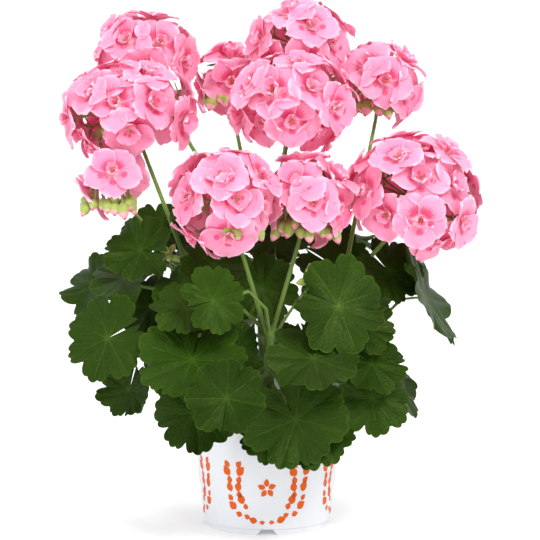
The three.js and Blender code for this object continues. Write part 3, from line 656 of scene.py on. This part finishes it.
def flower_head(node, number_of_head):
    """All florets, pedicels, sepals, stamens and buds of one umbel, as one piece."""
    corner, total, way, rise, _ = fans(node)
    knot, down = knot_of(corner, total, way, rise)
    pick = np.where((abs(total - 347.4) < 1.5) & (abs(rise - 0.26) < 0.02))[0]
    throat, axis = fill(corner[pick], way[pick], knot, down)
    seeds = np.arange(len(throat)) + 17 * number_of_head
    bundle = Bundle(("u", "v", "upper", "tone", "inner"))
    for whorl in (0, 1):
        grids, values = petals(throat, axis, seeds, whorl)
        points, faces, shape = thin(grids, PETAL_SHEET)
        bundle.add(points, [faces], 0, **{k: spread_values(shape, g) for k, g in values.items()})
    back = throat - axis * 0.0015
    handle = back - axis * 0.3 * np.linalg.norm(back - knot, axis=1)[:, None]
    steps = 8
    thick = np.linspace(0.8, 1, steps)[None] * 0.00085 + np.linspace(0, 1, steps)[None] ** 8 * 0.0012
    points, faces = tubes(bend(knot + 0 * back, handle, back, steps), thick)
    inside = np.concatenate([[0.0], np.repeat(np.linspace(0, 1, steps), 6), [1.0]])
    bundle.add(points, faces, 1, u=np.tile(inside, len(throat)))
    for k in range(5):
        bract(bundle, back, axis, np.full(len(back), k * 2 * np.pi / 5), 0.0085, 0.0016, 0.1, 0.0016)
    stamens(bundle, throat, axis, seeds)
    middle, hang, length = bunch(*buds_of(corner, total, way, rise, knot, BUD_WIDTH), knot)
    if len(middle):
        bud_shells(bundle, middle, hang, length, BUD_WIDTH * 1.2, seeds[0] + np.arange(len(middle)))
        top = middle - hang * length[:, None] * 0.45
        high = np.maximum(top[:, 2], knot[2])[:, None] * UPWARD + top * np.array([1, 1, 0]) + 0.004 * UPWARD
        points, faces = tubes(bend(knot + 0 * top, high, top, 9), np.full((1, 9), 0.00065))
        bundle.add(points, faces, 1, u=0.6)
    knot_shell(bundle, knot)
    bundle.make(node + "_florets", [petal_pink, flower_green, bud_green, filament, anther], [node])


def stamens(bundle, throat, axis, seeds):
    """Six fine filaments in each throat, each tipped with an anther."""
    count = 6
    each = np.repeat(np.arange(len(throat)), count)
    n = (seeds[:, None] * 7 + np.arange(count)[None]).ravel()
    first, second = around(axis, UPWARD + 0.02)
    turn = (np.arange(len(n)) * GOLDEN)[:, None]
    lean = (0.2 + 0.12 * scatter(n, 2))[:, None]
    way = unit(axis[each] + lean * (first[each] * np.cos(turn) + second[each] * np.sin(turn)))
    length = (0.0062 + 0.0018 * scatter(n, 3))[:, None]
    start = throat[each]
    end = start + way * length
    points, faces = tubes(bend(start, start + axis[each] * length * 0.6, end, 4), np.full((1, 4), 0.00022), 4)
    bundle.add(points, faces, 3)
    t = np.linspace(-1, 1, 5)
    across = unit(np.cross(way, UPWARD + 0.1))
    path = end[:, None] + across[:, None] * (t * 0.0009)[None, :, None]
    points, faces = tubes(path, (0.00048 * np.sqrt(1.05 - t ** 2))[None], 5)
    bundle.add(points, faces, 4)


def shine_through(add, share, colour):
    """Lets a share of the light pass through a thin sheet, in that colour."""
    glow = add("BsdfTranslucent", {"Color": colour})
    both = add("MixShader", {0: share, 1: add.shader.outputs[0], 2: glow.outputs[0]})
    add.tree.links.new(both.outputs[0], add.output.inputs[0])


def fleshy(add, colour, sheen):
    """Gives a material the look of soft, finely haired green tissue."""
    add.join({
        "Base Color": colour,
        "Normal": bump(add, noise(add, 3000.0, 2.0), 0.4, 0.0002),
        "Subsurface Weight": 0.2,
        "Subsurface Radius": (0.002, 0.003, 0.001),
        "Sheen Weight": sheen,
    })


petal_pink, add = paint("petal_pink", 0.55)
u, v, upper, tone, inner = given(add, "u", "v", "upper", "tone", "inner")
wide = number(add, "ABSOLUTE", v)
fleck = noise(add, 900.0, 3.0)
base = blend(add, number(add, "MULTIPLY_ADD", tone, 0.5, 0.5), (0.92, 0.335, 0.54, 1), (0.95, 0.43, 0.62, 1))
# Partly painted highlight: the petals turn paler towards their tips and sides, partly their own colour and
# partly a painted highlight.
paler_tip_and_highlight = blend(add, ramp(add, number(add, "ADD", u, times(add, wide, 0.3)), 0.85, 1.3), base,
             (1.0, 0.62, 0.76, 1))
blush = times(add, times(add, ramp(add, u, 0.75, 0.2), ramp(add, wide, 1.0, 0.35)),
              number(add, "MULTIPLY_ADD", upper, 0.42, 0.1))
blushed = blend(add, blush, paler_tip_and_highlight, (0.86, 0.09, 0.25, 1))
veins = number(add, "SINE", times(add, v, 26.0))
reach = number(add, "MULTIPLY_ADD", upper, 0.2, 0.36)
edge = number(add, "MULTIPLY_ADD", veins, 0.05, number(add, "MULTIPLY_ADD", wide, -0.2, reach))
soft = ramp(add, number(add, "SUBTRACT", edge, u), -0.06, 0.12)
blotch = times(add, times(add, soft, ramp(add, wide, 0.9, 0.4)),
               number(add, "MULTIPLY_ADD", inner, -0.05, number(add, "MULTIPLY_ADD", upper, 0.6, 0.12)))
away = times(add, number(add, "SUBTRACT", u, 0.43), 7.5)
beside = times(add, v, 2.9)
oval = number(add, "ADD", times(add, away, away), times(add, beside, beside))
spot = times(add, ramp(add, oval, 1.0, 0.25), number(add, "MULTIPLY_ADD", upper, -0.72, 0.72))
marked = blend(add, number(add, "MAXIMUM", blotch, spot), blushed, (0.74, 0.035, 0.16, 1))
white = blend(add, ramp(add, u, 0.28, 0.1), marked, (0.98, 0.88, 0.9, 1))
rays = times(add, ramp(add, veins, 0.1, 0.95), ramp(add, u, 0.62, 0.2))
lined = blend(add, times(add, rays, 0.34), white, (0.76, 0.08, 0.24, 1))
# Partly painted highlight: a pale rim round every petal, partly the petal's own pale edge and partly a
# painted highlight on it.
rim_and_highlight = ramp(add, number(add, "MAXIMUM", u, wide), 0.9, 1.0)
edged = blend(add, times(add, rim_and_highlight, 0.55), lined, (1.0, 0.74, 0.84, 1))
add.join({
    "Base Color": edged,
    "Roughness": number(add, "MULTIPLY_ADD", fleck, 0.2, 0.42),
    "Normal": bump(add, number(add, "ADD", veins, times(add, fleck, 0.8)), 0.25, 0.0003),
    "Subsurface Weight": 0.3,
    "Subsurface Radius": (0.005, 0.0025, 0.003),
    "Specular IOR Level": 0.3,
    "Sheen Weight": 0.12,
    # Painted light: the petals glow faintly in deep rose, which lifts their shade with a painted light.
    "Emission Color": (1.0, 0.06, 0.2, 1),
    "Emission Strength": 0.09,
})
shine_through(add, 0.26, edged)

flower_green, add = paint("flower_green", 0.5)
u, = given(add, "u")
mottle = noise(add, 800.0, 3.0)
green = blend(add, mottle, (0.2, 0.27, 0.045, 1), (0.3, 0.37, 0.09, 1))
fleshy(add, blend(add, ramp(add, u, 0.72, 1.0), green, (0.42, 0.2, 0.1, 1)), 0.3)

bud_green, add = paint("bud_green", 0.5)
u, tone = given(add, "u", "tone")
mottle = noise(add, 900.0, 3.0)
green = blend(add, mottle, (0.24, 0.33, 0.04, 1), (0.42, 0.5, 0.1, 1))
opening = number(add, "MULTIPLY_ADD", tone, 0.14, number(add, "MULTIPLY_ADD", mottle, 0.1, 0.66))
pink = blend(add, ramp(add, u, 0.84, 0.99), (0.88, 0.36, 0.42, 1), (0.62, 0.03, 0.06, 1))
fleshy(add, blend(add, ramp(add, number(add, "SUBTRACT", u, opening), -0.03, 0.07), green, pink), 0.35)

filament, add = paint("filament", 0.5)
add.join({"Base Color": blend(add, noise(add, 700.0), (0.9, 0.6, 0.66, 1), (0.95, 0.84, 0.84, 1)),
          "Subsurface Weight": 0.3, "Subsurface Radius": (0.002, 0.001, 0.001)})
anther, add = paint("anther", 0.7)
add.join({"Base Color": blend(add, noise(add, 2500.0), (0.42, 0.1, 0.02, 1), (0.72, 0.27, 0.06, 1)),
          "Normal": bump(add, noise(add, 6000.0), 0.6, 0.0002)})

for number_of_head in range(1, 11):
    flower_head(f"flower_head_{number_of_head}", number_of_head)

# ---- Bud clusters ---------------------------------------------
# Young umbels that haven't opened: tight heads of soft green buds on short pedicels. They grow out of a knot
# with bracts, at the top of thinner flower stalks.


def bud_cluster(node, width):
    """The buds, pedicels and knot of one young umbel, as one piece."""
    corner, total, way, rise, _ = fans(node)
    knot, _ = knot_of(corner, total, way, rise)
    middle, out, length = buds_of(corner, total, way, rise, knot, width)
    bundle = Bundle(("u", "tone"))
    bud_shells(bundle, middle, out, length, width, np.arange(len(middle)), ripe=0.72)
    base = middle - out * length[:, None] * 0.4
    points, faces = tubes(bend(knot + 0 * base, (knot + base) / 2, base, 4), np.full((1, 4), 0.0008))
    bundle.add(points, faces, 1, u=0.2)
    knot_shell(bundle, knot)
    bundle.make(node + "_buds", [petal_pink, flower_green, bud_green], [node])


bud_cluster("bud_cluster_1", 0.0045)
bud_cluster("bud_cluster_2", 0.0035)

# ---- Leaf blades ----------------------------------------------
# Round, velvety blades of seven shallow lobes with a scalloped margin and a cleft where the leaf stalk joins.
# Main veins run from there into the lobes and branch; the blade is quilted between them, its edge paler.

CLEFT = math.radians(11)
LOBE = (math.pi - CLEFT) * 2 / 7
BLADE_SHEET = 0.00045


def read_blade(node, stalks):
    """Hub, upper face's way, midrib's way, margin corners (angle, reach) and a fit of how the CAD blade
    lifts: lift = size * (a * far ** 2 + far ** 3 * a short Fourier series of the angle)."""
    corner, _, _, _, tri = fans(node)
    use = np.bincount(tri.ravel(), minlength=len(corner))
    poles = np.argsort(-use)[:2]
    near = [np.linalg.norm(stalks - corner[p], axis=1).min() for p in poles]
    low, high = poles[np.argmin(near)], poles[np.argmax(near)]
    p = corner[tri[(tri == high).any(1)]]
    up = unit(np.cross(p[:, 1] - p[:, 0], p[:, 2] - p[:, 0]).sum(0))
    hub = (corner[low] + corner[high]) / 2
    ring = np.setdiff1d(tri[(tri == high).any(1)], [high])
    lower = np.setdiff1d(tri[(tri == low).any(1)], [low])
    margin = np.setdiff1d(np.arange(len(corner)), np.concatenate([ring, lower, poles]))
    reach = np.linalg.norm(corner[margin] - hub, axis=1)
    back = corner[margin[np.argmin(reach)]] - hub
    midrib = unit(-(back - (back @ up) * up))
    side = np.cross(up, midrib)
    size = reach.max()

    def flat(indices):
        d = corner[indices] - hub
        x, y = d @ midrib, d @ side
        return np.arctan2(y, x), np.hypot(x, y) / size, d @ up / size

    edge_angle, edge_reach, edge_lift = flat(margin)
    ring_angle, ring_reach, ring_lift = flat(np.concatenate([ring, lower]))
    angle = np.concatenate([edge_angle, ring_angle])
    far = np.concatenate([edge_reach, ring_reach])
    lift = np.concatenate([edge_lift, ring_lift])
    solution = np.linalg.lstsq(lift_terms(angle, far), lift, rcond=None)[0]
    order = np.argsort(edge_angle)
    keep = order[edge_reach[order] > 0.3]
    return hub, up, midrib, side, size, (edge_angle[keep], edge_reach[keep]), solution


def lift_terms(angle, far):
    """Columns of the lift's fit: far squared, then far cubed times 1, cos and sin of 1 to 4 angles."""
    wave = [np.ones_like(angle)]
    for k in range(1, 5):
        wave += [np.cos(k * angle), np.sin(k * angle)]
    return np.stack([far ** 2] + [far ** 3 * w for w in wave], -1)


def leaf(node, n, stalks, rows=16, cols=253):
    """A blade as a polar grid from its hub to its margin, one sheet over another. The margin follows the CAD
    blade's lobes, rounded, with a notch between lobes and scallops round each: margin * (1 - deep * notch **
    4) * (1 + 0.075 * (|cos(3 * lobe turn)| ** 0.7 - 0.7)). The veins lie in grooves, the blade swells between
    them and its outer half waves: lift + quilt + roll + frill + curl + fold, each times size."""
    hub, up, midrib, side, size, (edge_angle, edge_reach), solution = read_blade(node, stalks)
    far = np.linspace(0, 1, rows) ** 0.9
    angle = np.linspace(-math.pi + CLEFT * 0.25, math.pi - CLEFT * 0.25, cols)
    corner = np.linspace(-math.pi + CLEFT, math.pi - CLEFT, 15)
    reach_at = np.interp(corner, edge_angle, edge_reach)
    place = (np.clip(angle, corner[0], corner[-1]) - corner[0]) / (corner[1] - corner[0])
    first = np.minimum(place.astype(int), 13)
    t = place - first
    odd = first % 2 == 1
    smooth = np.where(odd, 1 - np.cos(t * np.pi / 2), np.sin(t * np.pi / 2))
    margin = reach_at[first] * (1 - smooth) + reach_at[first + 1] * smooth
    turn = angle / LOBE
    notch = 2 * np.abs(np.mod(turn + 0.5, 1) - 0.5)
    slip = 0.05 * np.sin(3 * angle + 2 * n) + 0.03 * np.sin(8 * angle + n)
    teeth = np.abs(np.cos((turn + slip) * math.pi * 3))
    deep = 0.12 + 0.07 * np.sin(angle * 2.3 + 1.7 * n)
    margin = margin * (1 - deep * notch ** 4) * (1 + 0.075 * (teeth ** 0.7 - 0.7))
    margin = margin * (1 + 0.03 * np.sin(angle * 2 + 2.6 * n))
    reach = far[:, None] * margin[None]
    lift = (lift_terms((angle[None] + 0 * reach).ravel(), reach.ravel()) @ solution).reshape(reach.shape)
    vein = notch / 2 * LOBE
    swell = np.clip(vein[None] * reach / 0.17, 0, 1)
    quilt = 0.022 * np.sin(swell * np.pi / 2) * np.minimum(1, reach * 2.5) * (1 - 0.6 * far[:, None] ** 4)
    roll = 0.09 * far[:, None] ** 2.5 * np.sin(angle[None] * (2 + n % 3) + 2.1 * n)
    frill = 0.055 * far[:, None] ** 4 * np.sin(turn[None] * 2 * math.pi * (1 if n % 2 else 0.72) + 1.3 * n)
    curl = 0.028 * far[:, None] ** 8 * np.sin(turn[None] * 6.5 + 0.8 * n)
    fold = -0.07 * (1 - notch[None]) ** 3 * far[:, None] ** 2 * (1 - far[:, None] * 0.5)
    z = size * (lift + quilt + roll + frill + curl + fold)
    ray = np.cos(angle)[None, :, None] * midrib + np.sin(angle)[None, :, None] * side
    top = hub + size * reach[..., None] * ray + z[..., None] * up
    grid = top[1:]
    du, dv = np.gradient(grid, axis=0), np.gradient(grid, axis=1)
    under = grid - unit(np.cross(du, dv)) * BLADE_SHEET
    count = (rows - 1) * cols
    inner = 1 + np.arange(count).reshape(rows - 1, cols)
    lower = inner.copy()
    lower[:-1, 1:-1] = 1 + count + np.arange((rows - 2) * (cols - 2)).reshape(rows - 2, cols - 2)
    cells = quads(rows - 1, cols)
    fan = np.stack([np.zeros(cols - 1, int), inner[0, :-1], inner[0, 1:]], -1)
    pole = 1 + count + (rows - 2) * (cols - 2)
    fan_under = np.stack([np.full(cols - 1, pole), lower[0, 1:], lower[0, :-1]], -1)
    seam = np.array([[0, pole, inner[0, 0]], [pole, 0, inner[0, -1]]])
    points = np.concatenate([top[0, :1], grid.reshape(-1, 3), under[:-1, 1:-1].reshape(-1, 3),
                             top[0, :1] - up * BLADE_SHEET])
    faces = [fan, fan_under, seam, inner.ravel()[cells], lower.ravel()[cells][:, ::-1]]

    def each(values):
        values = np.broadcast_to(values, (rows - 1, cols))
        return np.concatenate([[values.flat[0]], values.ravel(), values[:-1, 1:-1].ravel(), [values.flat[0]]])

    below = np.concatenate([np.zeros(1 + count), np.ones((rows - 2) * (cols - 2) + 1)])
    values = dict(angle=each(angle[None]), far=each(far[1:, None]), below=below,
                  tone=np.full(len(points), scatter(n, 9)))
    values["far"][[0, -1]] = 0
    piece(f"{node}_blade", points, faces, [leaf_green], [node], values)


leaf_green, add = paint("leaf_green", 0.5)
angle, far, below, tone = given(add, "angle", "far", "below", "tone")
turn = number(add, "ADD", number(add, "DIVIDE", angle, LOBE), 10.5)
from_vein = number(add, "ABSOLUTE", number(add, "SUBTRACT", number(add, "FRACT", turn), 0.5))
off = times(add, from_vein, LOBE)
wobble = number(add, "MULTIPLY_ADD", noise(add, 90.0, 2.0), 0.06, -0.03)
aside = number(add, "ABSOLUTE", number(add, "ADD", times(add, off, far),
                                       times(add, wobble, ramp(add, far, 0.1, 0.6))))
main = ramp(add, aside, number(add, "MULTIPLY_ADD", far, -0.016, 0.026), 0.003)


def fork(start, slope, wide):
    """Side veins that leave a main vein at a distance from the hub and run out at a slope to it."""
    gone = number(add, "SUBTRACT", far, start)
    near = number(add, "ABSOLUTE", number(add, "SUBTRACT", aside, times(add, gone, slope)))
    return times(add, ramp(add, near, wide, 0.002), number(add, "GREATER_THAN", gone, 0.0))


later = number(add, "MAXIMUM", fork(0.52, 0.36, 0.009), fork(0.7, 0.5, 0.008))
forks = number(add, "MAXIMUM", fork(0.3, 0.42, 0.012), later)
place = add("TexCoord").outputs["Object"]
net = add("TexVoronoi", {"Vector": place, "Scale": 380.0}, feature="DISTANCE_TO_EDGE").outputs[0]
mesh_line = ramp(add, net, 0.1, 0.0)
cloud = noise(add, 45.0, 3.0)
dark = blend(add, number(add, "MULTIPLY_ADD", tone, 0.5, 0.5), (0.005, 0.018, 0.0008, 1),
             (0.015, 0.046, 0.0013, 1))
lit = blend(add, times(add, cloud, 0.6), dark, (0.025, 0.064, 0.003, 1))
zone = times(add, ramp(add, far, 0.35, 0.55), ramp(add, far, 0.85, 0.65))
zoned = blend(add, times(add, zone, 0.25), lit, (0.009, 0.022, 0.002, 1))
centre = blend(add, times(add, ramp(add, far, 0.2, 0.0), 0.4), zoned, (0.045, 0.1, 0.008, 1))
rim = blend(add, times(add, ramp(add, far, 0.96, 1.0), 0.42), centre, (0.075, 0.13, 0.012, 1))
finer = number(add, "MAXIMUM", times(add, forks, 0.2), times(add, mesh_line, 0.06))
veins = number(add, "MAXIMUM", times(add, main, 0.28), finer)
veined = blend(add, veins, rim, (0.075, 0.14, 0.02, 1))
coat = blend(add, times(add, below, 0.55), veined, (0.065, 0.11, 0.025, 1))
calm = ramp(add, far, 0.03, 0.2)
height = times(add, calm, number(
    add, "SUBTRACT", times(add, ramp(add, net, 0.0, 0.3), 0.4),
    number(add, "MAXIMUM", main, times(add, forks, 0.7))))
add.join({
    "Base Color": coat,
    "Roughness": number(add, "MULTIPLY_ADD", cloud, 0.22, 0.34),
    "Normal": bump(add, height, 0.6, 0.0006),
    "Specular IOR Level": 0.24,
    "Specular Tint": (0.7, 0.95, 0.3, 1),
    "Sheen Weight": 0.02,
    "Sheen Roughness": 0.4,
    "Sheen Tint": (0.6, 0.9, 0.4, 1),
})
shine_through(add, 0.1, blend(add, 0.5, coat, (0.12, 0.3, 0.01, 1)))

stalks = np.concatenate([fans(f"shoot_{k}")[0] for k in range(1, 5)])
blades = sorted(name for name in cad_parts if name.startswith("leaf_"))
for n, name in enumerate(blades):
    leaf(name, n, stalks)

# ---- Stage, light and camera ----------------------------------
# A pale paper sweep under and behind the plant. The light is soft and comes from all round, with a wide lamp
# above on the right, a weaker one on the left and one over the plant.

EYE = (0.0022, -1.5, 0.319)
AIM = (0.0022, 0.0, 0.188)
PLANT = (0.0, 0.0, 0.2)     # what the lamps look at

u = np.linspace(-4, 4, 3)
turn = np.linspace(0.1, math.pi / 2, 12)
run = np.concatenate([np.linspace(-3.5, 1.4, 8), 1.4 + 0.9 * np.sin(turn), [2.3]])
rise = np.concatenate([np.zeros(8), 0.9 * (1 - np.cos(turn)), [4.5]])
sweep = np.stack([u[None] + 0 * run[:, None], run[:, None] + 0 * u[None], rise[:, None] + 0 * u[None]], -1)
mesh = bpy.data.meshes.new("sweep")
mesh.from_pydata(sweep.reshape(-1, 3).tolist(), [], quads(len(run), len(u)).tolist())
mesh.polygons.foreach_set("use_smooth", np.ones(len(mesh.polygons), bool))
floor = bpy.data.objects.new("sweep", mesh)
bpy.context.scene.collection.objects.link(floor)
sweep_white, add = paint("sweep_white", 0.8)
add.join({"Base Color": (0.93, 0.93, 0.935, 1), "Specular IOR Level": 0.1,
          "Emission Color": (1.0, 1.0, 1.0, 1), "Emission Strength": 0.16})
mesh.materials.append(sweep_white)

world = bpy.data.worlds.new("studio")
bpy.context.scene.world = world
world.use_nodes = True
world.node_tree.nodes["Background"].inputs[0].default_value = (0.97, 0.98, 1.0, 1)
world.node_tree.nodes["Background"].inputs[1].default_value = 0.76

for name, place, size, watts, colour in (
        ("key", (0.7, -1.5, 1.7), 0.8, 37, (1.0, 0.99, 0.97)),
        ("fill", (-1.4, -1.4, 0.7), 1.0, 9, (0.97, 0.98, 1.0)),
        ("top", (-0.2, 0.5, 1.9), 1.2, 10, (1.0, 1.0, 1.0))):
    light = bpy.data.lights.new(name, "AREA")
    light.size = size
    light.energy = watts
    light.color = colour
    lamp = bpy.data.objects.new(name, light)
    bpy.context.scene.collection.objects.link(lamp)
    lamp.location = place
    lamp.rotation_euler = (Vector(PLANT) - Vector(place)).to_track_quat("-Z", "Y").to_euler()

lens = bpy.data.cameras.new("camera")
lens.sensor_width = 36
lens.lens = 136.6
camera = bpy.data.objects.new("camera", lens)
bpy.context.scene.collection.objects.link(camera)
camera.location = EYE
camera.rotation_euler = (Vector(AIM) - Vector(EYE)).to_track_quat("-Z", "Y").to_euler()
bpy.context.scene.camera = camera
bpy.context.scene.view_settings.view_transform = "Standard"
